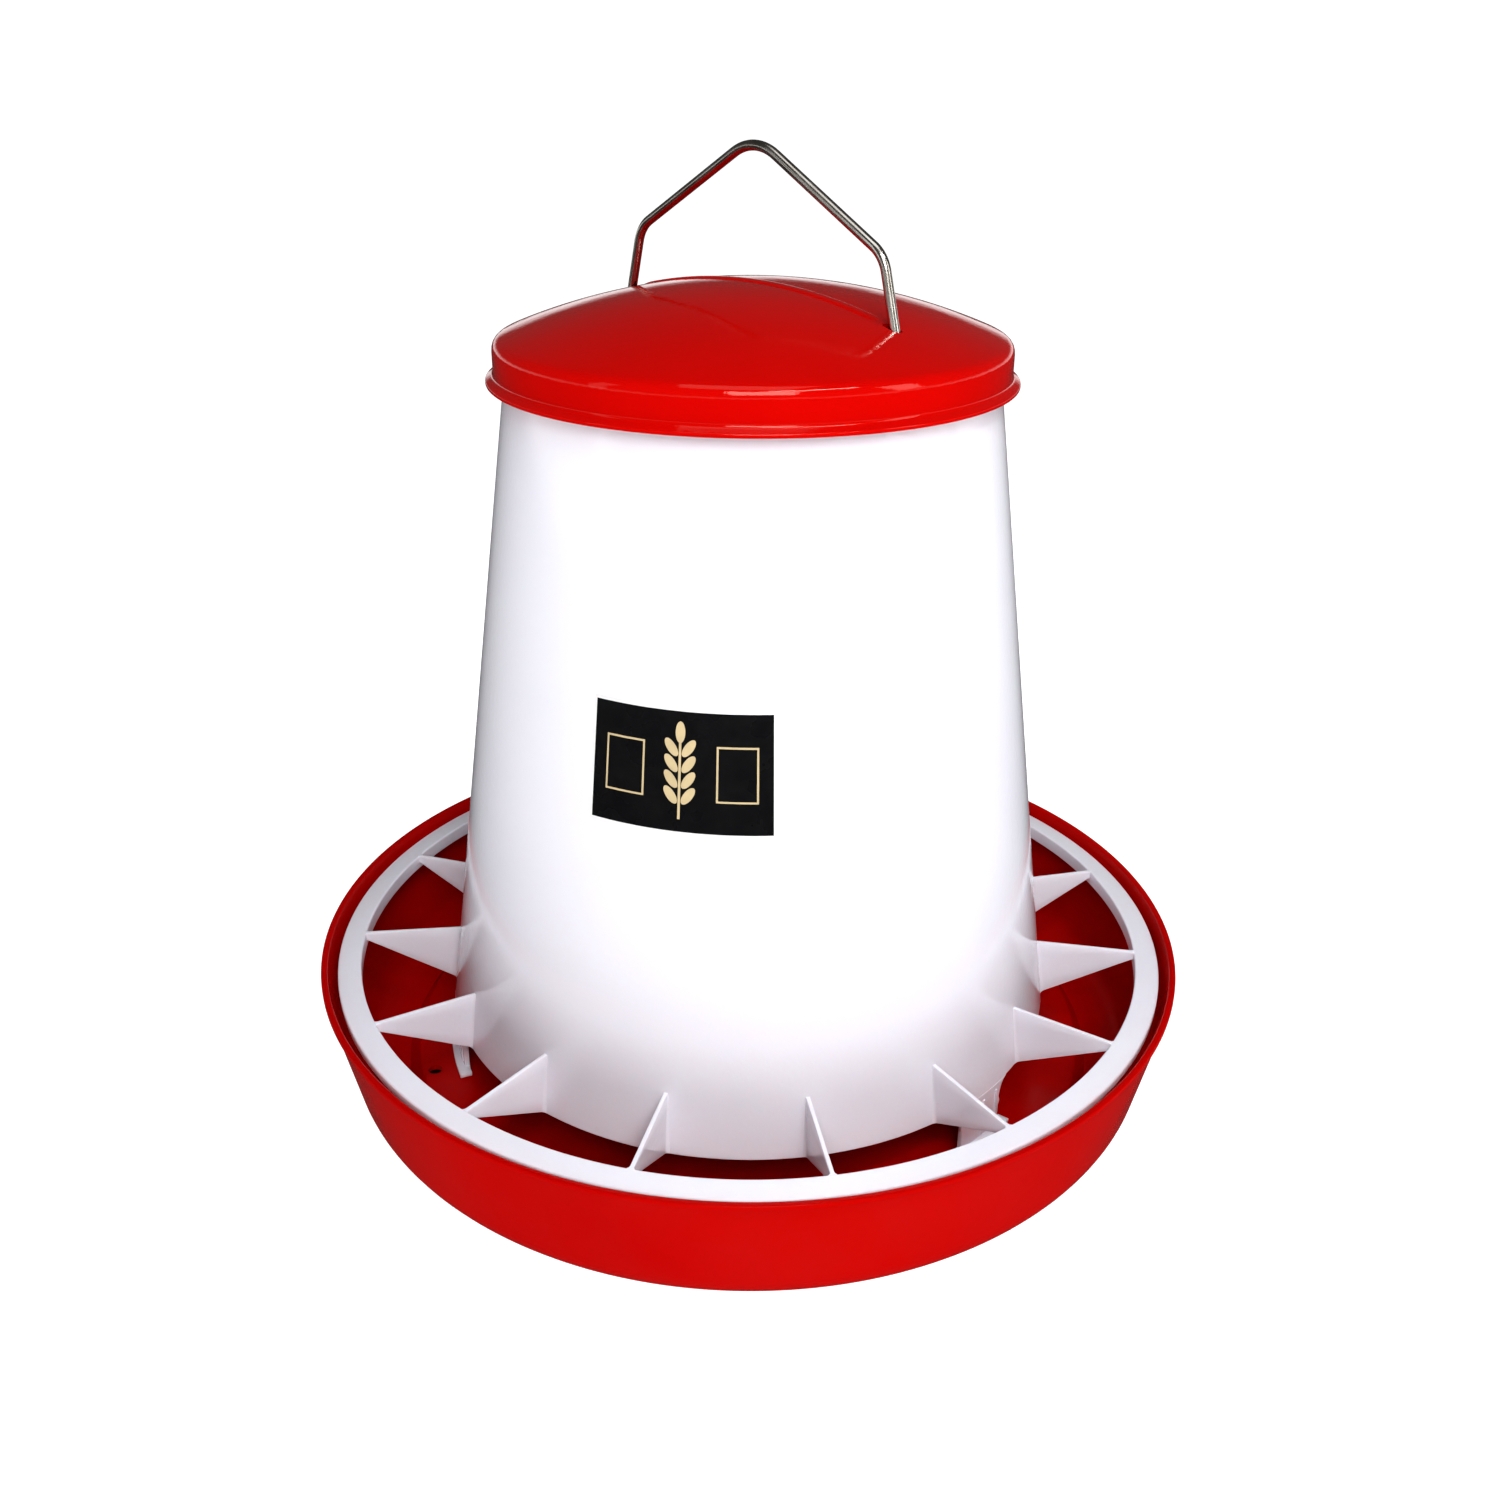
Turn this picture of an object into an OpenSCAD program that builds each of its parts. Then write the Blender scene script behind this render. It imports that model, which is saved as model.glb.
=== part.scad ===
// Hanging poultry feeder: a feed pan, a tapered hopper with an anti-waste grille,
// a domed lid and a wire bail. The pan stands on z = 0, the Z axis is the axis of
// every turned part, and the bail lies in the XZ plane. All sizes are millimetres.

/* [Pan] */
// Outer diameter over the lip
pan_d = 400; // [396:1:410]
// Height from the floor to the top of the lip
pan_h = 62; // [60:1:66]
// Thickness of the pan's wall and floor
pan_wall = 2.4; // [2:0.1:2.8]
// How far the flat lip stands out from the wall
lip_w = 1.2; // [1:0.1:2]
// Radius of the round corner between wall and base
pan_corner = 20; // [18:1:22]
// Height of the raised floor's top face
floor_z = 8; // [7.6:0.2:8.6]
// Diameter of the raised floor panel
floor_d = 320; // [318:1:324]
// Diameter of the feed cone's foot
cone_d = 220; // [200:5:240]
// Height of the feed cone above the floor
cone_h = 40; // [30:1:44]

/* [Hopper] */
// Outer diameter at the open lower edge
hopper_low_d = 283; // [281:0.5:285]
// Outer diameter at the upper edge
hopper_top_d = 198; // [196:0.5:198]
// Height of the lower edge above the ground
hopper_low_z = 33; // [32:0.5:34]
// Height of the upper edge above the ground
hopper_top_z = 335; // [334:0.1:335.2]
// Thickness of the hopper's wall
hopper_wall = 2.4; // [2:0.1:2.6]

/* [Grille] */
// Number of fins, a multiple of three
fin_count = 15; // [9:6:21]
// Thickness of one fin
fin_t = 2; // [1.5:0.1:2.5]
// Height of a fin's root on the hopper
fin_root_h = 27.5; // [24:0.5:30]
// Height of a fin where it meets the ring
fin_tip_h = 3.5; // [3:0.5:6]
// Height of the ring's inner edge
ring_edge_h = 7; // [6:0.5:8]
// Inner diameter of the ring
ring_in_d = 364.4; // [360:0.2:368]
// Outer diameter of the ring
ring_out_d = 386; // [382:0.5:388]
// Height of the ring's top face below the lip
ring_drop = 2.5; // [2:0.5:4]
// Thickness of the ring
ring_t = 2.2; // [1.8:0.1:2.6]

/* [Bayonet] */
// Number of legs that hold the hopper in the pan
leg_count = 3; // [3:3:3]
// Width of one leg along the circle, in degrees
leg_deg = 11; // [9:0.5:12]
// Width of the foot at the end of the leg, in degrees
foot_deg = 7; // [6:0.5:7]
// Turn that brings the feet over the wide part of the slots, in degrees
twist_deg = 12; // [11:0.5:13]
// Radial length of the foot under the floor
foot_len = 5; // [4:0.5:6]
// Diameter of the drain hole beside each leg
drain_d = 6.4; // [5:0.2:7]
// Direction of the drain hole from the leg's middle, in degrees
drain_deg = 2.9; // [2:0.1:4]

/* [Lid] */
// Diameter over the flared rim
lid_d = 216.6; // [215:0.2:218]
// Diameter of the upright skirt
lid_skirt_d = 210; // [209.4:0.2:211]
// Height of the lid's crown above the ground
lid_top_z = 357.3; // [357:0.1:358]
// Height of the lid's lower rim above the ground
lid_low_z = 319.5; // [318:0.5:321]
// Radius of curvature of the dome
dome_r = 268; // [267:0.5:269]
// Thickness of the lid
lid_t = 2; // [1.8:0.1:2]
// Height of the raised rib between the bail's slots
rib_h = 0.8; // [0.6:0.1:1]
// Width of the rib
rib_w = 7; // [6:0.5:8]

/* [Bail] */
// Diameter of the wire
wire_d = 4; // [3.6:0.1:4.2]
// Height of the point where the two arms' centre lines cross
bail_apex_z = 411; // [410:0.1:413]
// Half the span at the shoulders
shoulder_x = 66; // [65.6:0.1:66.4]
// Height of the shoulders
shoulder_z = 372.8; // [372.4:0.1:373.2]
// Half the span where the legs turn out to the hopper's wall
knee_x = 78.4; // [78:0.1:78.8]
// Height of the two pivot holes
pivot_z = 325; // [324.5:0.1:325.5]
// Radius of the bend at the apex
apex_bend = 22; // [18:1:24]
// Radius of the bend at each shoulder
shoulder_bend = 14; // [10:1:15]
// Radius of the bend at each knee
knee_bend = 6; // [5:0.5:7]
// How far the lid lifts along the legs
lid_travel = 10; // [8:1:12]

/* [Label] */
// Width of the label along the hopper's wall
label_w = 73; // [60:1:80]
// Height of the label
label_h = 49; // [40:1:55]
// Height of the label's middle
label_z = 195.7; // [180:0.1:220]
// Direction of the label's middle round the hopper, in degrees
label_deg = -59; // [-80:1:-40]
// Thickness of the label
label_t = 0.3; // [0.2:0.05:0.5]

/* [Hidden] */
$fn = 96;
pan_r = pan_d / 2;
pan_red = [0.80, 0.02, 0.02];
lid_red = [0.88, 0.02, 0.02];
hopper_white = [0.88, 0.90, 0.95];
grille_white = [0.84, 0.85, 0.92];
wire_steel = [0.72, 0.70, 0.66];
label_black = [0.04, 0.04, 0.04];

// Gap left between parts that move past each other
clear = 0.4;

// Outer radius of the hopper's wall at a height
function hopper_r(z) =
    hopper_low_d / 2 + (hopper_top_d - hopper_low_d) / 2 * (z - hopper_low_z) / (hopper_top_z - hopper_low_z);

// Height of the lid's upper surface at a radius
function dome_z(r) = lid_top_z - dome_r + sqrt(dome_r * dome_r - r * r);

// Points of an arc about (cx, cy) from angle a to angle b
function arc(cx, cy, r, a, b, n = 12) =
    [for (i = [0:n]) [cx + r * cos(a + (b - a) * i / n), cy + r * sin(a + (b - a) * i / n)]];

// ---- Pan ----
wall_top_r = pan_r - lip_w;
wall_low_r = wall_top_r - 8.6;
foot_r = wall_low_r - pan_corner * 0.988;
lip_t = 2.5;
step_w = 5;
plug = 20;

// Section of the pan's outer part: lip, wall, round corner, foot and the step up to the floor
module wall_section() {
    polygon(concat(
        [[wall_top_r - pan_wall, pan_h], [pan_r, pan_h], [pan_r, pan_h - lip_t], [wall_top_r, pan_h - lip_t]],
        arc(foot_r, pan_corner, pan_corner, -9, -90),
        [[floor_d / 2 + step_w, 0], [floor_d / 2, floor_z - pan_wall],
         [floor_d / 2, floor_z], [floor_d / 2 + step_w, pan_wall]],
        arc(foot_r, pan_corner, pan_corner - pan_wall, -90, -9)));
}

// Part of a ring between two radii, two heights and two directions
module ring_sector(r0, r1, z0, z1, a0, a1) {
    rotate([0, 0, a0])
        translate([0, 0, z0])
            rotate_extrude(angle = a1 - a0)
                translate([r0, 0])
                    square([r1 - r0, z1 - z0]);
}

// Keyhole slots: the narrow part passes a leg, the wide part passes its foot
leg_out_r = hopper_low_d / 2;
leg_in_r = leg_out_r - hopper_wall;
foot_out_r = leg_out_r + foot_len;
slot_margin = 1;
module keyhole_slot() {
    half = leg_deg / 2 + slot_margin;
    wide = foot_deg / 2 + slot_margin;
    ring_sector(leg_in_r - clear, leg_out_r + clear, 0, plug, -twist_deg - half, half);
    ring_sector(leg_in_r - 2 * clear, foot_out_r + clear, 0, plug, -twist_deg - wide, -twist_deg + wide);
}

drain_r = 154.5;
module pan_wall_ring() {
    color(pan_red)
        rotate_extrude($fn = 180)
            wall_section();
}

// The raised floor lies inside the wall's step, face to face with it
module pan_floor() {
    color(pan_red)
        difference() {
            // The turned ring starts midway between two slots
            rotate([0, 0, 60])
                rotate_extrude($fn = 180)
                    translate([cone_d / 2, floor_z - pan_wall])
                        square([(floor_d - cone_d) / 2, pan_wall]);
            for (i = [0 : leg_count - 1])
                rotate([0, 0, i * 360 / leg_count]) {
                    keyhole_slot();
                    rotate([0, 0, drain_deg])
                        translate([drain_r, 0, 0])
                            cylinder(d = drain_d, h = plug);
                }
        }
}

// The hollow cone that spreads the feed towards the rim
module feed_cone() {
    tip_r = 8;
    color(pan_red)
        rotate_extrude($fn = 180)
            polygon([
                [cone_d / 2, floor_z - pan_wall], [cone_d / 2, floor_z],
                [tip_r, floor_z + cone_h], [0, floor_z + cone_h],
                [0, floor_z + cone_h - pan_wall], [tip_r, floor_z + cone_h - pan_wall]]);
}

// ---- Hopper ----
pivot_hole_d = wire_d + 0.4;
module hopper_tube() {
    color(hopper_white)
        difference() {
            rotate_extrude($fn = 180)
                polygon([
                    [hopper_low_d / 2 - hopper_wall, hopper_low_z], [hopper_low_d / 2, hopper_low_z],
                    [hopper_top_d / 2, hopper_top_z], [hopper_top_d / 2 - hopper_wall, hopper_top_z]]);
            translate([-hopper_low_d / 2, 0, pivot_z])
                rotate([0, 90, 0])
                    cylinder(d = pivot_hole_d, h = hopper_low_d);
        }
}

// ---- Grille ----
ring_z = pan_h - ring_drop;
fin_root_z = hopper_low_z + 0.2;
ring_slope = 1;

// One fin: an upright plate whose root follows the hopper's wall and whose tip
// stops at the ring. Its flat faces are radial.
module fin() {
    root_top_z = fin_root_z + fin_root_h;
    tip_z = ring_z - fin_tip_h;
    r_low = hopper_r(fin_root_z);
    r_top = hopper_r(root_top_z);
    translate([0, fin_t / 2, 0])
        rotate([90, 0, 0])
            linear_extrude(fin_t)
                polygon([
                    [r_low, fin_root_z], [ring_in_d / 2, tip_z],
                    [ring_in_d / 2, ring_z], [r_top, root_top_z]]);
}

module grille_fins() {
    color(grille_white)
        for (i = [0 : fin_count - 1])
            rotate([0, 0, (i + 0.5) * 360 / fin_count])
                fin();
}

// The ring is a shallow channel: a sloping top, a deep inner edge and a short outer edge
module grille_ring() {
    ri = ring_in_d / 2;
    ro = ring_out_d / 2;
    lip = 4;
    color(grille_white)
        rotate_extrude($fn = 180)
            polygon([
                [ri, ring_z - ring_edge_h], [ri, ring_z], [ro, ring_z - ring_slope],
                [ro, ring_z - ring_slope - lip], [ro - ring_t, ring_z - ring_slope - lip],
                [ro - ring_t, ring_z - ring_slope - ring_t], [ri + ring_t, ring_z - ring_t],
                [ri + ring_t, ring_z - ring_edge_h]]);
}

// ---- Bayonet legs ----
// A curved leg hangs from the hopper's edge, a shelf rests over the floor and a foot
// hooks under it.
shelf_len = 3.5;
shelf_extra = 2.1;
plate_t = 2.4;
module bayonet_leg() {
    half = leg_deg / 2;
    foot_top = floor_z - pan_wall - clear;
    shelf_low = floor_z + clear;
    ring_sector(leg_in_r, leg_out_r, foot_top - plate_t, hopper_low_z, -half, half);
    ring_sector(leg_in_r, foot_out_r, foot_top - plate_t, foot_top, -foot_deg / 2, foot_deg / 2);
    ring_sector(leg_in_r, leg_out_r + shelf_len, shelf_low, shelf_low + plate_t,
                -half - shelf_extra, half + shelf_extra);
}

module bayonet_legs() {
    color(grille_white)
        for (i = [0 : leg_count - 1])
            rotate([0, 0, i * 360 / leg_count])
                bayonet_leg();
}

// ---- Lid ----
skirt_r = lid_skirt_d / 2;
dome_edge_r = skirt_r - 2;
flare_z = lid_low_z + 3.4;

// Half section of the dome's skin between two offsets from its outer surface
module dome_skin(low, high, r) {
    edge = asin(r / dome_r);
    c = lid_top_z - dome_r;
    polygon(concat(
        arc(0, c, dome_r + high, 90, 90 - edge, 24),
        arc(0, c, dome_r + low, 90 - edge, 90, 24)));
}

module lid_section() {
    edge_z = dome_z(dome_edge_r);
    dome_skin(-lid_t, 0, dome_edge_r);
    polygon([
        [dome_edge_r, edge_z], [skirt_r - 0.5, edge_z - 1.2], [skirt_r, edge_z - 3],
        [skirt_r, flare_z], [lid_d / 2, lid_low_z + 1.4], [lid_d / 2, lid_low_z],
        [lid_d / 2 - lid_t, lid_low_z], [skirt_r - lid_t, flare_z - 1.2],
        [skirt_r - lid_t, edge_z - 3.2], [dome_edge_r - 1.6, edge_z - lid_t + 0.4]]);
}

// Wire centre line on a leg at a height
function leg_x(z) = shoulder_x + (knee_x - shoulder_x) * (shoulder_z - z) / (shoulder_z - pivot_z);
slot_play = 0.35;
slot_w = wire_d + 2 * slot_play;
splay = atan((knee_x - shoulder_x) / (shoulder_z - pivot_z));
wire_half = wire_d / 2 / cos(splay);
slot_out_x = leg_x(dome_z(knee_x - 1) - lid_t) + wire_half + slot_play;
slot_in_x = leg_x(dome_z(knee_x - 9) + lid_travel) - wire_half - slot_play;

// Slot for one leg of the bail, long enough for the leg's splay over the travel
module bail_slot() {
    x0 = slot_in_x + slot_w / 2;
    x1 = slot_out_x - slot_w / 2;
    for (x = [x0, x1])
        translate([x, 0, lid_low_z])
            cylinder(d = slot_w, h = 40);
    translate([x0, -slot_w / 2, lid_low_z])
        cube([x1 - x0, slot_w, 40]);
}

module lid() {
    rib_len = 2 * (slot_in_x - 3);
    color(lid_red)
        difference() {
            union() {
                rotate_extrude($fn = 180)
                    lid_section();
                intersection() {
                    rotate_extrude($fn = 180)
                        dome_skin(-lid_t / 2, rib_h, rib_len / 2 + 2);
                    translate([-rib_len / 2, -rib_w / 2, lid_low_z])
                        cube([rib_len, rib_w, 60]);
                }
            }
            bail_slot();
            mirror([1, 0, 0])
                bail_slot();
        }
}

// ---- Bail ----
wire_end_x = hopper_r(pivot_z) + 1.3;

// A straight length of wire in the XZ plane between two points
module wire_run(a, b) {
    d = b - a;
    translate([a[0], 0, a[1]])
        rotate([0, 90 - atan2(d[1], d[0]), 0])
            cylinder(d = wire_d, h = norm(d), $fn = 32);
}

// A ball a hair wider than the wire, which joins a straight length to a bend
module wire_joint(at) {
    translate([at[0], 0, at[1]])
        sphere(d = wire_d + 0.04, $fn = 32);
}

// Unit vector from a to b
function unit(a, b) = (b - a) / norm(b - a);

// Distance from a corner at which a bend of a radius starts
function bend_cut(p, q, r, bend) =
    bend * tan(acos(unit(p, q) * unit(q, r)) / 2);

// A bend of the wire at corner q, on the way from p to r
module wire_bend(p, q, r, bend) {
    u = unit(p, q);
    v = unit(q, r);
    turn = acos(u * v);
    side = sign(u[0] * v[1] - u[1] * v[0]);
    start = q - u * bend_cut(p, q, r, bend);
    centre = start + side * bend * [-u[1], u[0]];
    first = atan2(start[1] - centre[1], start[0] - centre[0]);
    from = side > 0 ? first : first - turn;
    translate([centre[0], 0, centre[1]])
        rotate([90, 0, 0])
            rotate([0, 0, from])
                rotate_extrude(angle = turn)
                    translate([bend, 0])
                        circle(d = wire_d, $fn = 32);
}

// Corners of the wire's centre line, from one end to the other, and each one's bend
right = [[wire_end_x, pivot_z], [knee_x, pivot_z], [shoulder_x, shoulder_z]];
bail_path = concat(right, [[0, bail_apex_z]], [for (i = [2:-1:0]) [-right[i][0], right[i][1]]]);
bail_bends = [0, knee_bend, shoulder_bend, apex_bend, shoulder_bend, knee_bend, 0];

module bail() {
    last = len(bail_path) - 1;
    // Distance that the bend at corner i takes off each straight length
    cuts = [for (i = [0:last]) i == 0 || i == last ? 0
        : bend_cut(bail_path[i - 1], bail_path[i], bail_path[i + 1], bail_bends[i])];
    color(wire_steel) {
        for (i = [0 : last - 1]) {
            along = unit(bail_path[i], bail_path[i + 1]);
            from = bail_path[i] + along * cuts[i];
            to = bail_path[i + 1] - along * cuts[i + 1];
            wire_run(from, to);
            if (i > 0)
                wire_joint(from);
            if (i < last - 1)
                wire_joint(to);
        }
        for (i = [1 : last - 1])
            wire_bend(bail_path[i - 1], bail_path[i], bail_path[i + 1], bail_bends[i]);
    }
}

// ---- Label ----
module label() {
    half = label_w / hopper_r(label_z) * 90 / PI;
    low = label_z - label_h / 2;
    high = label_z + label_h / 2;
    color(label_black)
        rotate([0, 0, label_deg - half])
            rotate_extrude(angle = 2 * half)
                polygon([
                    [hopper_r(low), low], [hopper_r(low) + label_t, low],
                    [hopper_r(high) + label_t, high], [hopper_r(high), high]]);
}

pan_wall_ring();
pan_floor();
feed_cone();
hopper_tube();
grille_fins();
grille_ring();
bayonet_legs();
lid();
bail();
label();
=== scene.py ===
"""Hanging poultry feeder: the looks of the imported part, in metres, in the part's own frame."""
import math

import bmesh
import bpy
from mathutils import Matrix, Vector


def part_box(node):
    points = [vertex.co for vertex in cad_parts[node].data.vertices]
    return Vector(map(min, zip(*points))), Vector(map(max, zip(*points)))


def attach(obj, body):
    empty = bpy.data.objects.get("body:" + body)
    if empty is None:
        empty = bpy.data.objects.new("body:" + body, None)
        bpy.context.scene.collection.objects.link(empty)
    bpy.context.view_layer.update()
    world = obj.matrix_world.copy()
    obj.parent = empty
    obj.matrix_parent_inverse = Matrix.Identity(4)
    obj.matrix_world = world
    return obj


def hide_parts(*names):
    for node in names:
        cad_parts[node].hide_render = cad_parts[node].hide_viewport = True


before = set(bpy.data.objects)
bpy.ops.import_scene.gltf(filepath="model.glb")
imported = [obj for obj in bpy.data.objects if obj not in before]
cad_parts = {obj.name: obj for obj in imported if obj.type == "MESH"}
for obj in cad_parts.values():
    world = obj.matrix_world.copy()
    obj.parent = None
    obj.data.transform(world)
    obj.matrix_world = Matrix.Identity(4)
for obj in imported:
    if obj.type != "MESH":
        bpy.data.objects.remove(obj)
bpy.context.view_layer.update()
MM = 0.001

# Sizes that the part's source uses too, in millimetres
PAN_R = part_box("pan_wall_ring")[1].x / MM - 0.05
PAN_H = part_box("pan_wall_ring")[1].z / MM
HOPPER_LOW_Z = 33.0
HOPPER_TOP_Z = 335.0
HOPPER_LOW_R = 141.5
HOPPER_TOP_R = 99.0
HOPPER_WALL = 2.4
FIN_COUNT = 15
FIN_T = 2.0
RING_IN_R = 182.2
RING_OUT_R = 192.9
RING_Z = PAN_H - 2.5
LEG_COUNT = 3
LEG_HALF_DEG = 5.5
FOOT_HALF_DEG = 3.5
FOOT_LEN = 5.0
TWIST_DEG = 12.0
FLOOR_Z = 8.0
PAN_WALL = 2.4
LID_TOP_Z = 357.3
DOME_R = 268.0
SKIRT_R = 105.0
LID_LOW_Z = 319.5
LID_R = 108.2
WIRE_R = 2.0
PIVOT_Z = 325.0
KNEE_X = 78.4
SHOULDER_X = 66.0
SHOULDER_Z = 372.8
APEX_Z = 411.0
LID_TRAVEL = 10.0
LABEL_DEG = -59.0
LABEL_Z = 195.7
LABEL_W = 73.0
LABEL_H = 49.0
STUDIO_R = 12000.0


def hopper_r(z):
    """Outer radius of the hopper's wall at height z."""
    return HOPPER_LOW_R + (HOPPER_TOP_R - HOPPER_LOW_R) * (z - HOPPER_LOW_Z) / (HOPPER_TOP_Z - HOPPER_LOW_Z)


def dome_z(r, offset=0.0):
    """Height of the lid's outer surface at radius r, moved by offset along its normal."""
    return LID_TOP_Z - DOME_R + math.sqrt((DOME_R + offset) ** 2 - r * r)


def polar(r, deg, z):
    """A point from its radius, direction and height."""
    a = math.radians(deg)
    return (r * math.cos(a), r * math.sin(a), z)


# ---------------------------------------------------------------- materials

def new_material(name, base, roughness, **inputs):
    """A Principled material, with values that hold all over the surface set on its own sockets."""
    mat = bpy.data.materials.new(name)
    mat.use_nodes = True
    shader = mat.node_tree.nodes["Principled BSDF"]
    shader.inputs["Base Color"].default_value = (*base, 1.0)
    shader.inputs["Roughness"].default_value = roughness
    for key, value in inputs.items():
        shader.inputs[key.replace("_", " ")].default_value = value
    mat.diffuse_color = (*base, 1.0)
    return mat, shader


def noise(mat, scale, detail=2.0, stretch=(1.0, 1.0, 1.0)):
    """A noise texture in object space."""
    nodes, links = mat.node_tree.nodes, mat.node_tree.links
    coord = nodes.new("ShaderNodeTexCoord")
    mapping = nodes.new("ShaderNodeMapping")
    mapping.inputs["Scale"].default_value = stretch
    tex = nodes.new("ShaderNodeTexNoise")
    tex.inputs["Scale"].default_value = scale
    tex.inputs["Detail"].default_value = detail
    links.new(coord.outputs["Object"], mapping.inputs["Vector"])
    links.new(mapping.outputs["Vector"], tex.inputs["Vector"])
    return tex.outputs["Fac"]


def ramp(mat, source, low, high, start=0.35, end=0.65):
    """Maps a texture to a colour between low and high."""
    node = mat.node_tree.nodes.new("ShaderNodeValToRGB")
    node.color_ramp.elements[0].position = start
    node.color_ramp.elements[1].position = end
    node.color_ramp.elements[0].color = (*low, 1.0)
    node.color_ramp.elements[1].color = (*high, 1.0)
    mat.node_tree.links.new(source, node.inputs["Fac"])
    return node.outputs["Color"]


def vary_roughness(mat, shader, source, low, high):
    """Lets the roughness follow a texture."""
    grey = ramp(mat, source, (low,) * 3, (high,) * 3)
    mat.node_tree.links.new(grey, shader.inputs["Roughness"])


def bump(mat, shader, sources, distance):
    """Adds textures to the surface as relief, each with its own strength."""
    normal = None
    for source, strength in sources:
        node = mat.node_tree.nodes.new("ShaderNodeBump")
        node.inputs["Strength"].default_value = strength
        node.inputs["Distance"].default_value = distance
        mat.node_tree.links.new(source, node.inputs["Height"])
        if normal is not None:
            mat.node_tree.links.new(normal, node.inputs["Normal"])
        normal = node.outputs["Normal"]
    mat.node_tree.links.new(normal, shader.inputs["Normal"])


def moulded_plastic(name, base, deep, roughness, wave, **inputs):
    """Glossy injection-moulded plastic: slight colour drift, slow waviness and fine orange peel."""
    mat, shader = new_material(name, base, roughness, **inputs)
    colour = ramp(mat, noise(mat, 9.0), deep, base, 0.3, 0.7)
    mat.node_tree.links.new(colour, shader.inputs["Base Color"])
    vary_roughness(mat, shader, noise(mat, 24.0, 3.0), roughness * 0.75, roughness * 1.3)
    bump(mat, shader, [(noise(mat, 22.0), wave), (noise(mat, 420.0, 2.0), 0.05)], 0.0012)
    return mat


LID_RED = moulded_plastic(
    "lid_red", (0.57, 0.002, 0.0), (0.51, 0.001, 0.0), 0.05, 0.35,
    Specular_IOR_Level=0.35, Specular_Tint=(1.0, 0.8, 0.7, 1.0), IOR=1.5)
PAN_RED = moulded_plastic(
    "pan_red", (0.50, 0.001, 0.0), (0.45, 0.0, 0.0), 0.2, 0.30,
    Specular_IOR_Level=0.12, Specular_Tint=(1.0, 0.4, 0.35, 1.0), IOR=1.5)
WHITE = moulded_plastic(
    "translucent_white", (0.88, 0.875, 0.945), (0.85, 0.845, 0.925), 0.08, 0.08,
    IOR=1.5, Subsurface_Weight=0.25, Subsurface_Radius=(0.006, 0.005, 0.005))


def wire_material():
    """Bright drawn wire: fine lines along its length, a little tarnish."""
    mat, shader = new_material("drawn_wire", (0.55, 0.52, 0.47), 0.2, Metallic=1.0)
    tarnish = ramp(mat, noise(mat, 60.0, 4.0), (0.44, 0.40, 0.35), (0.62, 0.60, 0.56), 0.3, 0.7)
    mat.node_tree.links.new(tarnish, shader.inputs["Base Color"])
    vary_roughness(mat, shader, noise(mat, 90.0, 3.0), 0.14, 0.3)
    bump(mat, shader, [(noise(mat, 900.0, 2.0, (1.0, 1.0, 0.05)), 0.03)], 0.0004)
    return mat


def film_material(name, base, roughness):
    """Printed label film with a faint unevenness."""
    mat, shader = new_material(name, base, roughness, Specular_IOR_Level=0.15)
    dusty = tuple(min(1.0, c * 0.9 + 0.003) for c in base)
    colour = ramp(mat, noise(mat, 140.0, 3.0), dusty, base)
    mat.node_tree.links.new(colour, shader.inputs["Base Color"])
    vary_roughness(mat, shader, noise(mat, 60.0, 3.0), roughness * 0.8, roughness * 1.3)
    bump(mat, shader, [(noise(mat, 70.0, 2.0), 0.12)], 0.0006)
    return mat


WIRE = wire_material()
INK_BLACK = film_material("film_black", (0.006, 0.006, 0.007), 0.28)
INK_WHITE = film_material("film_white", (0.86, 0.86, 0.86), 0.30)
INK_STRAW = film_material("film_straw", (0.62, 0.50, 0.30), 0.30)


# ---------------------------------------------------------------- mesh tools

def mesh_object(name, points, faces, mats, sharp_deg=38.0):
    """An object from points in millimetres, smooth shaded except at sharp edges."""
    mesh = bpy.data.meshes.new(name)
    mesh.from_pydata([Vector(p) * MM for p in points], [], faces)
    bm = bmesh.new()
    bm.from_mesh(mesh)
    bmesh.ops.remove_doubles(bm, verts=bm.verts, dist=1e-6)
    bmesh.ops.dissolve_degenerate(bm, edges=bm.edges, dist=1e-7)
    bmesh.ops.recalc_face_normals(bm, faces=bm.faces)
    bm.to_mesh(mesh)
    bm.free()
    for mat in mats if isinstance(mats, (list, tuple)) else [mats]:
        mesh.materials.append(mat)
    mesh.polygons.foreach_set("use_smooth", [True] * len(mesh.polygons))
    mesh.set_sharp_from_angle(angle=math.radians(sharp_deg))
    obj = bpy.data.objects.new(name, mesh)
    bpy.context.scene.collection.objects.link(obj)
    return obj


def rounded(points, radii, steps=5, closed=True):
    """Replaces the corners of a 2-D line by arcs. A radius of 0 keeps the corner."""
    out = []
    n = len(points)
    for i, point in enumerate(points):
        radius = radii[i] if isinstance(radii, (list, tuple)) else radii
        if radius == 0 or (not closed and i in (0, n - 1)):
            out.append(point)
            continue
        p = Vector(point)
        a = (Vector(points[i - 1]) - p)
        b = (Vector(points[(i + 1) % n]) - p)
        da, db = a.normalized(), b.normalized()
        half = da.angle(db) / 2
        cut = min(radius / math.tan(half), a.length * 0.49, b.length * 0.49)
        start, end = p + da * cut, p + db * cut
        for k in range(steps + 1):
            t = k / steps
            out.append(tuple(start.lerp(p, t).lerp(p.lerp(end, t), t)))
    return out


def arc(centre, radius, start, end, steps):
    """Points of an arc, angles in degrees."""
    turn = [math.radians(start + (end - start) * k / steps) for k in range(steps + 1)]
    return [(centre[0] + radius * math.cos(a), centre[1] + radius * math.sin(a)) for a in turn]


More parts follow.
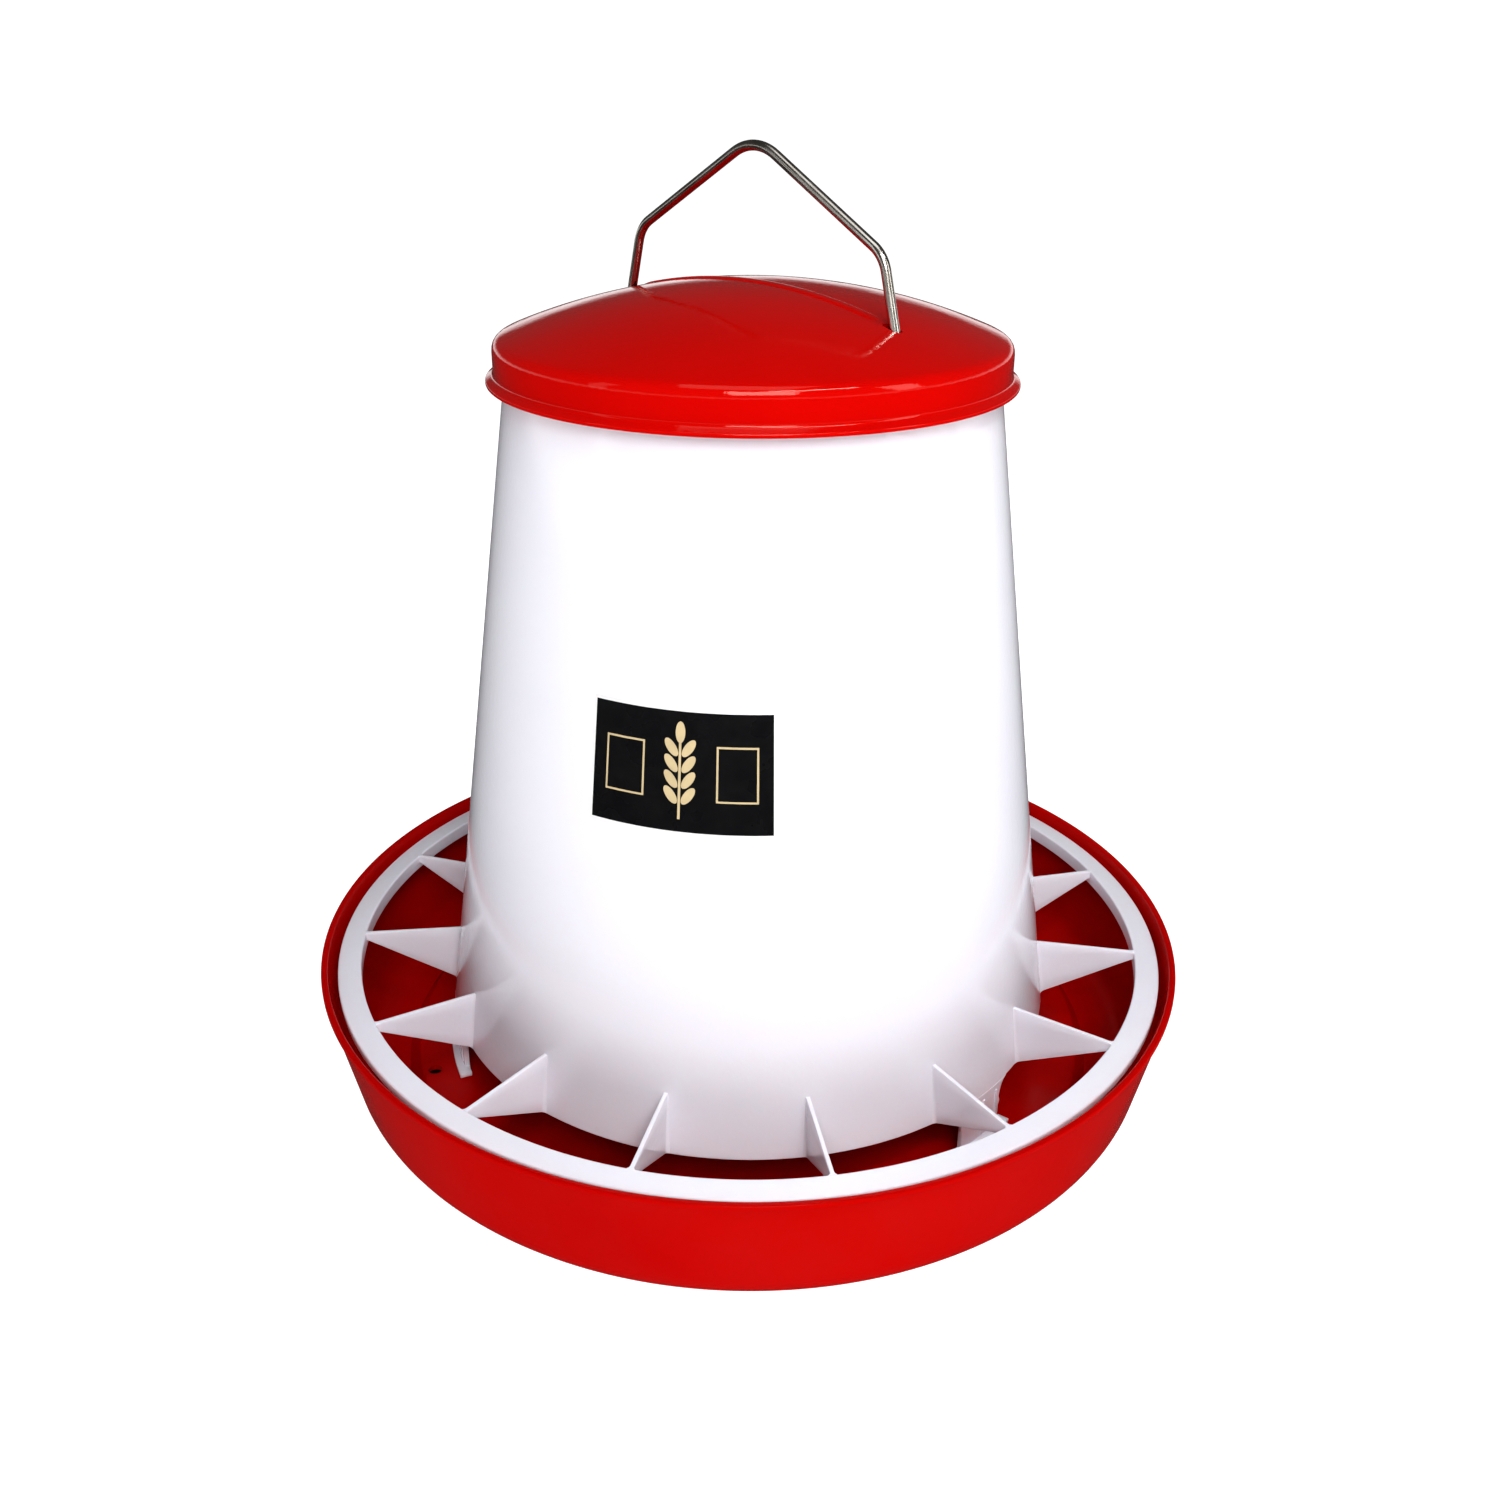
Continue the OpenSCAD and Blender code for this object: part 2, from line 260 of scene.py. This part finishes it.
def lathe(name, profile, mat, segments=256, closed=True):
    """Turns a profile of (radius, height) about the Z axis."""
    n = len(profile)
    points = []
    faces = []
    for s in range(segments):
        points += [polar(r, 360.0 * s / segments, z) for r, z in profile]
        nxt = (s + 1) % segments
        for k in range(n if closed else n - 1):
            m = (k + 1) % n
            faces.append((s * n + k, nxt * n + k, nxt * n + m, s * n + m))
    return mesh_object(name, points, faces, mat)


def sector_points(r0, r1, z0, z1, a0, a1, steps=12):
    """Points and faces of a part of a ring between two radii, heights and directions."""
    points = []
    faces = []
    for k in range(steps + 1):
        deg = a0 + (a1 - a0) * k / steps
        points += [polar(r0, deg, z0), polar(r1, deg, z0), polar(r1, deg, z1), polar(r0, deg, z1)]
        if k < steps:
            base = 4 * k
            for j in range(4):
                m = (j + 1) % 4
                faces.append((base + j, base + m, base + 4 + m, base + 4 + j))
    faces += [(3, 2, 1, 0), (4 * steps, 4 * steps + 1, 4 * steps + 2, 4 * steps + 3)]
    return points, faces


def sector(name, mat, *limits):
    """A part of a ring as an object."""
    points, faces = sector_points(*limits)
    return mesh_object(name, points, faces, mat)


def prism(name, outline, z0, z1, mat):
    """An upright prism over a convex outline."""
    n = len(outline)
    points = [(x, y, z) for z in (z0, z1) for x, y in outline]
    faces = [(k, (k + 1) % n, n + (k + 1) % n, n + k) for k in range(n)]
    faces += [tuple(range(n))[::-1], tuple(range(n, 2 * n))]
    return mesh_object(name, points, faces, mat)


def circle(x, y, radius, sides=24):
    """Corners of a circle about a point."""
    turn = [math.tau * k / sides for k in range(sides)]
    return [(x + radius * math.cos(a), y + radius * math.sin(a)) for a in turn]


def grid_faces(rows, cols, first=0):
    """Faces of a grid of that many rows and columns of faces, whose points start at first."""
    n = cols + 1
    corners = [first + j * n + i for j in range(rows) for i in range(cols)]
    return [(a, a + 1, a + n + 1, a + n) for a in corners]


def end_faces(rows, cols):
    """Faces that join the first and last rows of two grids, one after the other."""
    n, sheet = cols + 1, (cols + 1) * (rows + 1)
    corners = [j * n + i for i in range(cols) for j in (0, rows)]
    return [(a, a + 1, a + 1 + sheet, a + sheet) for a in corners]


def side_faces(rows, cols):
    """Faces that join the first and last columns of two grids, one after the other."""
    n, sheet = cols + 1, (cols + 1) * (rows + 1)
    corners = [j * n + i for j in range(rows) for i in (0, cols)]
    return [(a, a + n, a + n + sheet, a + sheet) for a in corners]


def apply_modifiers(obj):
    """Replaces the object's mesh by its evaluated mesh."""
    graph = bpy.context.evaluated_depsgraph_get()
    mesh = bpy.data.meshes.new_from_object(obj.evaluated_get(graph))
    obj.modifiers.clear()
    obj.data = mesh


def cut(obj, cutters):
    """Takes the cutters out of the object and removes them."""
    for cutter in cutters:
        mod = obj.modifiers.new("cut", "BOOLEAN")
        mod.operation = "DIFFERENCE"
        mod.solver = "EXACT"
        mod.object = cutter
    bpy.context.view_layer.update()
    apply_modifiers(obj)
    for cutter in cutters:
        bpy.data.objects.remove(cutter)
    obj.data.set_sharp_from_angle(angle=math.radians(38))


def soften(obj, width, segments=2, angle=50.0):
    """A small bevel along sharp edges, applied."""
    mod = obj.modifiers.new("soften", "BEVEL")
    mod.width = width * MM
    mod.segments = segments
    mod.limit_method = "ANGLE"
    mod.angle_limit = math.radians(angle)
    bpy.context.view_layer.update()
    apply_modifiers(obj)
    obj.data.set_sharp_from_angle(angle=math.radians(55))


def join(objects, name):
    """Joins objects into the first one."""
    with bpy.context.temp_override(
            active_object=objects[0], selected_editable_objects=objects, object=objects[0]):
        bpy.ops.object.join()
    objects[0].name = name
    return objects[0]


def place(obj, body, slot, *nodes):
    """Puts a piece on its body and hides the CAD nodes it stands for. Its finish, slot, is not used."""
    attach(obj, body)
    if nodes:
        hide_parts(*nodes)
    return obj


# ---------------------------------------------------------------- pan

def pan_body():
    """The pan: rolled lip, flared wall, round corner, raised floor and feed cone, with its slots."""
    corner = 20.0
    wall_top = PAN_R - 1.2
    foot = wall_top - 8.6 - corner * 0.988
    floor_r = 160.0
    cone_r = 110.0
    cone_h = 40.0
    slot_in_r, slot_out_r = 138.7, 141.9
    wide_in_r, wide_out_r = 138.3, HOPPER_LOW_R + FOOT_LEN + 0.4
    drain_at_r, drain_deg, drain_r = 154.5, 2.9, 3.2
    below, above = -2, 20
    half = LEG_HALF_DEG + 1
    wide = FOOT_HALF_DEG + 1
    lip = rounded(
        [(wall_top - PAN_WALL, PAN_H - 12), (wall_top - PAN_WALL + 0.6, PAN_H), (PAN_R, PAN_H),
         (PAN_R, PAN_H - 2.5), (wall_top - 0.4, PAN_H - 2.9), (wall_top - 2.2, PAN_H - 14)],
        [0, 1.1, 0.9, 0.8, 1.2, 0], steps=4, closed=False)
    lip[0] = (wall_top - PAN_WALL - 2.4, PAN_H - 12)
    outer = arc((foot, corner), corner, -9, -90, 14)
    under = [(floor_r + 5, 0.0), (floor_r, FLOOR_Z - PAN_WALL), (cone_r, FLOOR_Z - PAN_WALL),
             (8, FLOOR_Z + cone_h - PAN_WALL), (0.01, FLOOR_Z + cone_h - PAN_WALL)]
    upper = [(0.01, FLOOR_Z + cone_h), (8, FLOOR_Z + cone_h), (cone_r, FLOOR_Z),
             (floor_r, FLOOR_Z), (floor_r + 5, PAN_WALL)]
    upper = rounded(upper, [0, 5, 8, 2, 2], closed=False)
    inner = arc((foot, corner), corner - PAN_WALL, -90, -9, 14)
    obj = lathe("pan_body", lip + outer + under + upper + inner, PAN_RED)
    cutters = []
    for i in range(LEG_COUNT):
        turn = i * 360.0 / LEG_COUNT
        far = turn - TWIST_DEG
        cutters.append(sector(
            "cut", PAN_RED, slot_in_r, slot_out_r, below, above, far - half, turn + half))
        cutters.append(sector(
            "cut", PAN_RED, wide_in_r, wide_out_r, below, above, far - wide, far + wide))
        x, y, _ = polar(drain_at_r, turn + drain_deg, 0)
        cutters.append(prism("cut", circle(x, y, drain_r), below, above, PAN_RED))
    cut(obj, cutters)
    return obj


place(pan_body(), "pan", "pan_plastic", "pan_wall_ring", "pan_floor", "feed_cone")


# ---------------------------------------------------------------- white moulding

def hopper_shell():
    """The tapered wall with eased edges."""
    low_in = HOPPER_LOW_R - HOPPER_WALL
    top_in = HOPPER_TOP_R - HOPPER_WALL
    profile = rounded(
        [(low_in, HOPPER_LOW_Z), (HOPPER_LOW_R, HOPPER_LOW_Z),
         (HOPPER_TOP_R, HOPPER_TOP_Z), (top_in, HOPPER_TOP_Z)], 0.8, steps=4)
    obj = lathe("hopper_shell", profile, WHITE)
    # One bore right through makes both pivot holes
    bore = prism("cut", circle(0, 0, WIRE_R * 1.1), -HOPPER_LOW_R, HOPPER_LOW_R, WHITE)
    bore.data.transform(Matrix.Translation((0, 0, PIVOT_Z * MM)) @ Matrix.Rotation(math.pi / 2, 4, "Y"))
    cut(obj, [bore])
    return obj


def fillet(d, radius):
    """How much a round corner of that radius adds at distance d from the wall."""
    if d >= radius:
        return 0.0
    return radius - math.sqrt(radius * radius - (radius - max(d, 0.0)) ** 2)


def fin(deg):
    """One fin between the hopper's wall and the ring, thicker where it runs into each."""
    low_z, root_h, tip_h = HOPPER_LOW_Z + 0.2, 27.5, 3.5
    along = [0, 0.008, 0.018, 0.03, 0.045, 0.065, 0.1, 0.25, 0.4, 0.55, 0.7, 0.85, 0.93, 0.965, 0.985, 1.0]
    up = [0, 0.25, 0.5, 0.75, 1.0]
    points = []
    for side in (-1, 1):
        for t in up:
            z_root = low_z + root_h * t
            root = Vector((hopper_r(z_root) - 0.5, z_root))
            tip = Vector((RING_IN_R + 0.4, RING_Z - tip_h + tip_h * t))
            length = (tip - root).length
            for s in along:
                p = root.lerp(tip, s)
                half = FIN_T / 2 + fillet((1 - s) * length - 0.4, 1.0)
                # The corner with the wall runs out towards the fin's top
                half += fillet(s * length - 0.5, 1.7 - 1.5 * t)
                # The mould's draft makes a fin a little thinner at its upper edge
                half -= 0.15 * t
                points.append((p.x, side * half, p.y))
    rows, cols = len(up) - 1, len(along) - 1
    faces = grid_faces(rows, cols) + grid_faces(rows, cols, len(up) * len(along))
    faces += end_faces(rows, cols) + side_faces(rows, cols)
    obj = mesh_object("fin", points, faces, WHITE)
    soften(obj, 0.4)
    obj.data.transform(Matrix.Rotation(math.radians(deg), 4, "Z"))
    return obj


def grille_ring():
    """The ring: a shallow channel with round edges."""
    lip, wall = 4.0, 2.2
    top_out = RING_Z - 1.0
    profile = [
        (RING_IN_R, RING_Z - 7), (RING_IN_R, RING_Z), (RING_OUT_R, top_out),
        (RING_OUT_R, top_out - lip), (RING_OUT_R - wall, top_out - lip),
        (RING_OUT_R - wall, top_out - wall), (RING_IN_R + wall, RING_Z - wall),
        (RING_IN_R + wall, RING_Z - 7)]
    return lathe("ring", rounded(profile, [0.6, 0.9, 1.1, 0.6, 0.6, 0.8, 0.8, 0.6], steps=4), WHITE)


def leg(deg):
    """One leg: a curved plate that widens into the wall, with a shelf, a foot and a small nub."""
    out_r = HOPPER_LOW_R
    in_r = out_r - HOPPER_WALL
    top, low = HOPPER_LOW_Z + 0.6, 2.8
    nub_z, nub_reach, nub_deg = 22, 2.2, 0.35
    rows, cols = 40, 12
    points = []
    for r in (in_r, out_r):
        for j in range(rows + 1):
            z = top + (low - top) * j / rows
            half = LEG_HALF_DEG - 0.1 + 2.3 * fillet((HOPPER_LOW_Z - z) * 0.1, 1.0)
            if abs(z - nub_z) < nub_reach and r == out_r:
                half += nub_deg * math.cos((z - nub_z) / nub_reach * math.pi / 2)
            points += [polar(r, half * (2 * i / cols - 1), z) for i in range(cols + 1)]
    faces = grid_faces(rows, cols) + grid_faces(rows, cols, (rows + 1) * (cols + 1))
    faces += side_faces(rows, cols) + end_faces(rows, cols)
    plate = mesh_object("leg", points, faces, WHITE)
    half = LEG_HALF_DEG - 0.1
    toe = FOOT_HALF_DEG - 0.1
    foot = sector("foot", WHITE, in_r + 0.2, out_r + FOOT_LEN - 0.1, 2.8, 5.2, -toe, toe)
    shelf = sector(
        "shelf", WHITE, in_r + 0.2, out_r + 3.4, FLOOR_Z + 0.45, FLOOR_Z + 2.8, -half - 2, half + 2)
    parts = [plate, foot, shelf]
    # A low U-shaped rib on the leg's face: two uprights and the bar between their feet
    for a0, a1, z0, z1 in ((0.0, 0.4, 13, 30), (3.8, 4.2, 13, 30), (0.0, 4.2, 12, 13)):
        parts.append(sector("rib", WHITE, out_r - 0.2, out_r + 0.5, z0, z1, a0, a1))
    for part in parts[:3]:
        soften(part, 0.4)
    for part in parts:
        part.data.transform(Matrix.Rotation(math.radians(deg), 4, "Z"))
    return parts


def gate_mark():
    """The faint crescent that the mould's gate left low on the wall."""
    z0, deg0, radius = 117.4, -51.2, 5.4
    points = []
    steps = 26
    for k in range(steps + 1):
        a = math.radians(-150 + 200 * k / steps)
        taper = math.sin(math.pi * k / steps)
        for dr, lift in ((-0.45, -0.03), (-0.15, 0.14 * taper), (0.15, 0.14 * taper), (0.45, -0.03)):
            z = z0 + (radius + dr) * math.sin(a)
            deg = deg0 + math.degrees((radius + dr) * math.cos(a) / hopper_r(z0))
            points.append(polar(hopper_r(z) + lift, deg, z))
    return mesh_object("gate_mark", points, grid_faces(steps, 3), WHITE)


place(hopper_shell(), "hopper", "hopper_plastic", "hopper_tube")
place(gate_mark(), "hopper", "hopper_plastic")
fins = join([fin((i + 0.5) * 360 / FIN_COUNT) for i in range(FIN_COUNT)], "fins")
place(fins, "hopper", "hopper_plastic", "grille_fins")
place(grille_ring(), "hopper", "hopper_plastic", "grille_ring")
legs = join([p for i in range(LEG_COUNT) for p in leg(i * 360 / LEG_COUNT)], "legs")
place(legs, "hopper", "hopper_plastic", "bayonet_legs")


# ---------------------------------------------------------------- lid

def leg_x(z):
    """Half the span of the bail's legs at height z."""
    return SHOULDER_X + (KNEE_X - SHOULDER_X) * (SHOULDER_Z - z) / (SHOULDER_Z - PIVOT_Z)


def lid_dome():
    """The lid's domed top, round shoulder, upright skirt and flared rim, with a slot for each leg."""
    edge = 98.0
    steps = 40
    outer = [(max(edge * k / steps, 0.01), dome_z(edge * k / steps)) for k in range(steps + 1)]
    inner = [(r, dome_z(r, -2.0)) for r, _ in outer][::-1]
    side = rounded(
        [outer[-1], (SKIRT_R, dome_z(SKIRT_R)), (SKIRT_R, LID_LOW_Z + 3.4), (LID_R, LID_LOW_Z + 1.6),
         (LID_R, LID_LOW_Z + 0.1), (LID_R - 2, LID_LOW_Z + 0.1), (SKIRT_R - 2, LID_LOW_Z + 2.3),
         (SKIRT_R - 2, dome_z(SKIRT_R) - 2.5), inner[0]],
        [0, 6.0, 2.0, 0.7, 0.6, 0.6, 2.0, 3.0, 0], closed=False)
    obj = lathe("lid_dome", outer + side[1:-1] + inner, LID_RED)
    # Each slot takes the leg's splay over the lid's travel, with a little play
    half_w, end_play = WIRE_R + 0.35, 0.4
    below, above = 325, 365
    x_in = leg_x(dome_z(KNEE_X - 9) + LID_TRAVEL) - WIRE_R - end_play + half_w
    x_out = leg_x(dome_z(KNEE_X - 1) - 2) + WIRE_R + end_play - half_w
    cutters = []
    for side_sign in (-1, 1):
        capsule = arc((x_in, 0), half_w, 90, 270, 10) + arc((x_out, 0), half_w, -90, 90, 10)
        outline = [(side_sign * x, side_sign * y) for x, y in capsule]
        cutters.append(prism("cut", outline, below, above, LID_RED))
    cut(obj, cutters)
    return obj


def lid_rib():
    """A low rib across the dome between the slots, with soft flanks."""
    length, width, height, sink = 65.0, 3.4, 0.75, 0.15
    nx, ny = 90, 10
    points = []
    for i in range(nx + 1):
        x = length * (2 * i / nx - 1)
        ends = min(1.0, (length - abs(x)) / 5.0)
        for j in range(ny + 1):
            v = 2 * j / ny - 1
            y = width * v
            crown = (1 - abs(v) ** 3) * ends
            r = math.hypot(x, y)
            points.append((x, y, dome_z(r) - sink + (height + sink) * crown))
    return mesh_object("lid_rib", points, grid_faces(nx, ny), LID_RED)


place(lid_dome(), "lid", "lid_plastic", "lid")
place(lid_rib(), "lid", "lid_plastic")


# ---------------------------------------------------------------- bail

def bail_path():
    """Centre line of the wire in the XZ plane, with its round bends."""
    half = [(hopper_r(PIVOT_Z) + 1.3, PIVOT_Z), (KNEE_X, PIVOT_Z), (SHOULDER_X, SHOULDER_Z)]
    corners = half + [(0.0, APEX_Z)] + [(-x, z) for x, z in half[::-1]]
    # Bend radii at the ends, knees, shoulders and apex
    bends = [0, 6, 14, 22, 14, 6, 0]
    out = [Vector(corners[0])]
    for i in range(1, len(corners) - 1):
        p = Vector(corners[i])
        da = (Vector(corners[i - 1]) - p).normalized()
        db = (Vector(corners[i + 1]) - p).normalized()
        half_angle = da.angle(db) / 2
        centre = p + (da + db).normalized() * bends[i] / math.sin(half_angle)
        start = p + da * bends[i] / math.tan(half_angle)
        end = p + db * bends[i] / math.tan(half_angle)
        a0 = math.atan2(start.y - centre.y, start.x - centre.x)
        turn = math.remainder(math.atan2(end.y - centre.y, end.x - centre.x) - a0, math.tau)
        for k in range(15):
            a = a0 + turn * k / 14
            out.append(centre + bends[i] * Vector((math.cos(a), math.sin(a))))
    out.append(Vector(corners[-1]))
    return out


def bail_wire():
    """The wire as a swept circle, with eased ends."""
    path = bail_path()
    sides = 28
    rings = []
    for i, p in enumerate(path):
        a = path[max(i - 1, 0)]
        b = path[min(i + 1, len(path) - 1)]
        along = (b - a).normalized()
        across = Vector((-along.y, along.x))
        if i in (0, len(path) - 1):
            inward = along * (0.5 if i == 0 else -0.5)
            ends = [(p, WIRE_R - 0.5), (p + inward, WIRE_R)]
            rings += [(*e, across) for e in (ends if i == 0 else ends[::-1])]
        else:
            rings.append((p, WIRE_R, across))
    points = []
    faces = []
    for k, (p, radius, across) in enumerate(rings):
        for s in range(sides):
            a = math.tau * s / sides
            q = p + across * radius * math.cos(a)
            points.append((q.x, radius * math.sin(a), q.y))
        if k:
            for s in range(sides):
                m = (s + 1) % sides
                faces.append(((k - 1) * sides + s, (k - 1) * sides + m, k * sides + m, k * sides + s))
    last = (len(rings) - 1) * sides
    faces += [tuple(range(sides)), tuple(range(last, last + sides))]
    return mesh_object("bail_wire", points, faces, WIRE)


place(bail_wire(), "hopper", "wire", "bail")


# ---------------------------------------------------------------- label

def on_wall(u, v, lift):
    """A point of the label: u to the right and v up from its middle, in millimetres."""
    z = LABEL_Z + v
    deg = LABEL_DEG + math.degrees(u / hopper_r(LABEL_Z))
    return polar(hopper_r(z) + lift, deg, z)


def patch(name, outline_rows, lift, mat):
    """A curved sheet through rows of (u, v) points."""
    points = [on_wall(u, v, lift) for row in outline_rows for u, v in row]
    faces = grid_faces(len(outline_rows) - 1, len(outline_rows[0]) - 1)
    return mesh_object(name, points, faces, mat)


def bar(name, u0, u1, v0, v1, lift, mat):
    """A rectangle on the label."""
    cols = max(2, int((u1 - u0) / 1.5))
    rows = max(1, int((v1 - v0) / 6))
    grid = [[(u0 + (u1 - u0) * i / cols, v0 + (v1 - v0) * j / rows) for i in range(cols + 1)]
            for j in range(rows + 1)]
    return patch(name, grid, lift, mat)


def oval(name, u, v, a, b, lift, mat, turn=0.0):
    """An ellipse on the label, turned by an angle in degrees."""
    c, s = math.cos(math.radians(turn)), math.sin(math.radians(turn))
    rows = []
    for k in range(5):
        f = k / 4
        ring = []
        for i in range(33):
            t = math.tau * i / 32
            x, y = a * f * math.cos(t), b * f * math.sin(t)
            ring.append((u + x * c - y * s, v + x * s + y * c))
        rows.append(ring)
    return patch(name, rows, lift, mat)


def label_sheet():
    """The label's film, with a thin edge that stands off the wall."""
    w, h, t = LABEL_W / 2, LABEL_H / 2, 0.28
    cols, rows = 48, 8
    points = []
    for lift in (0.0, t):
        for j in range(rows + 1):
            v = h * (2 * j / rows - 1)
            points += [on_wall(w * (2 * i / cols - 1), v, lift) for i in range(cols + 1)]
    faces = grid_faces(rows, cols, (rows + 1) * (cols + 1))
    faces += end_faces(rows, cols) + side_faces(rows, cols)
    return mesh_object("label_sheet", points, faces, INK_WHITE)


def label_art():
    """A generic print with no lettering: one upright ear of grain between two plain frames."""
    w, h = LABEL_W / 2, LABEL_H / 2
    top = 0.33
    parts = [bar("art", -w + 1.0, w - 1.0, -h + 1.0, h - 1.0, 0.30, INK_BLACK)]
    parts.append(bar("art", -0.5, 0.5, -h + 6, h - 12, top, INK_STRAW))
    parts.append(oval("art", 0, h - 9, 1.9, 4.2, top, INK_STRAW))
    for k in range(4):
        v = h - 15 - 6.2 * k
        for side in (-1, 1):
            parts.append(oval("art", side * 3.4, v, 1.8, 4.0, top, INK_STRAW, -35 * side))
    for u in (-22, 22):
        parts.append(bar("art", u - 8, u + 8, -11, 11, top, INK_STRAW))
        parts.append(bar("art", u - 7.2, u + 7.2, -10.2, 10.2, top + 0.03, INK_BLACK))
    return join(parts, "label_art")


place(label_sheet(), "hopper", "label_film", "label")
place(label_art(), "hopper", "label_film")


# ---------------------------------------------------------------- camera, floor and light

def camera():
    """A view from the right front, a little above the bail and 25 degrees down."""
    data = bpy.data.cameras.new("view")
    data.sensor_width = 36.0
    data.lens = 35.80
    obj = bpy.data.objects.new("view", data)
    distance, height, bearing, pitch, roll = 0.6178, 0.4413, -46.2, 25.2, 0.45
    obj.matrix_world = (
        Matrix.Translation(polar(distance, bearing, height))
        @ Matrix.Rotation(math.radians(bearing + 90), 4, "Z")
        @ Matrix.Rotation(math.radians(90 - pitch), 4, "X")
        @ Matrix.Rotation(math.radians(roll), 4, "Z"))
    bpy.context.scene.collection.objects.link(obj)
    bpy.context.scene.camera = obj


def softbox(name, bearing, distance, height, size, power):
    """An area light that faces the middle of the object."""
    data = bpy.data.lights.new(name, "AREA")
    data.shape = "RECTANGLE"
    data.size, data.size_y = size
    data.energy = power
    obj = bpy.data.objects.new(name, data)
    at = Vector(polar(distance, bearing, height))
    obj.location = at
    aim = Vector((0, 0, 0.2))
    obj.rotation_euler = (aim - at).to_track_quat("-Z", "Y").to_euler()
    bpy.context.scene.collection.objects.link(obj)


def sky():
    """The surround that surfaces reflect: bright at the horizon, dim above and below it."""
    world = bpy.data.worlds.new("surround")
    world.use_nodes = True
    nodes, links = world.node_tree.nodes, world.node_tree.links
    coord = nodes.new("ShaderNodeTexCoord")
    split = nodes.new("ShaderNodeSeparateXYZ")
    sky = nodes.new("ShaderNodeValToRGB")
    # Directions from straight down to straight up become 0 to 1
    raise_z = nodes.new("ShaderNodeMath")
    raise_z.operation = "MULTIPLY_ADD"
    raise_z.inputs[1].default_value = 0.5
    raise_z.inputs[2].default_value = 0.5
    levels = [(0.0, 0.05), (0.475, 0.05), (0.485, 1.0), (0.515, 1.0), (0.56, 0.08), (1.0, 0.05)]
    for position, level in levels[1:-1]:
        sky.color_ramp.elements.new(position)
    for element, (position, level) in zip(sky.color_ramp.elements, levels):
        element.position = position
        element.color = (level, level, level, 1.0)
    links.new(coord.outputs["Generated"], split.inputs["Vector"])
    links.new(split.outputs["Z"], raise_z.inputs[0])
    links.new(raise_z.outputs["Value"], sky.inputs["Fac"])
    links.new(sky.outputs["Color"], nodes["Background"].inputs["Color"])
    bpy.context.scene.world = world


def table():
    """The floor, lit from within apart from a dark disc of painted shade under the pan. Reflections don't
    show it.
    """
    painted_shade_r = 160
    # Painted shade: a dark, reddish disc under the pan, seen through its slots and drain holes.
    mat, shader = new_material("floor_painted_shade", (0.03, 0.01, 0.01), 0.9, Specular_IOR_Level=0.1)
    painted_shade_tint = ramp(mat, noise(mat, 3.0), (0.02, 0.008, 0.008), (0.04, 0.012, 0.012))
    mat.node_tree.links.new(painted_shade_tint, shader.inputs["Base Color"])
    glow, glow_shader = new_material("floor_glow", (0.5, 0.5, 0.5), 0.9, Specular_IOR_Level=0.0,
                                     Emission_Strength=0.85, Emission_Color=(1.0, 1.0, 1.0, 1.0))
    glow_tint = ramp(glow, noise(glow, 3.0), (0.49, 0.49, 0.49), (0.51, 0.51, 0.51))
    glow.node_tree.links.new(glow_tint, glow_shader.inputs["Base Color"])
    disc = lathe("painted_shade_disc", [(0.01, 0), (painted_shade_r, 0)], mat, 96, closed=False)
    rest = lathe("floor", [(painted_shade_r, 0), (STUDIO_R, 0)], glow, 96, closed=False)
    for obj in (disc, rest):
        obj.visible_glossy = False


def backdrop():
    """A white dome behind everything, which only the camera sees."""
    paper, _ = new_material("surround_white", (1.0, 1.0, 1.0), 1.0, Specular_IOR_Level=0.0,
                            Emission_Strength=1.0, Emission_Color=(1.0, 1.0, 1.0, 1.0))
    dome = lathe("surround", arc((0, 0), STUDIO_R, 0, 90, 24), paper, 96, closed=False)
    dome.visible_diffuse = False
    dome.visible_glossy = False
    dome.visible_transmission = False
    dome.visible_shadow = False


def lights():
    """Five soft lights, from the front, above and both sides."""
    softbox("key", -42, 1.5, 1.25, (0.8, 0.8), 16)
    softbox("strip", -14, 1.0, 1.55, (0.9, 0.12), 7)
    softbox("right", 20, 1.5, 0.9, (0.4, 0.9), 3.5)
    softbox("left", -112, 1.6, 0.8, (0.25, 1.0), 0.7)
    softbox("top", -60, 0.4, 1.9, (1.0, 1.0), 4)


camera()
sky()
table()
backdrop()
lights()
bpy.context.scene.view_settings.view_transform = "Standard"
bpy.context.scene.view_settings.look = "Medium High Contrast"
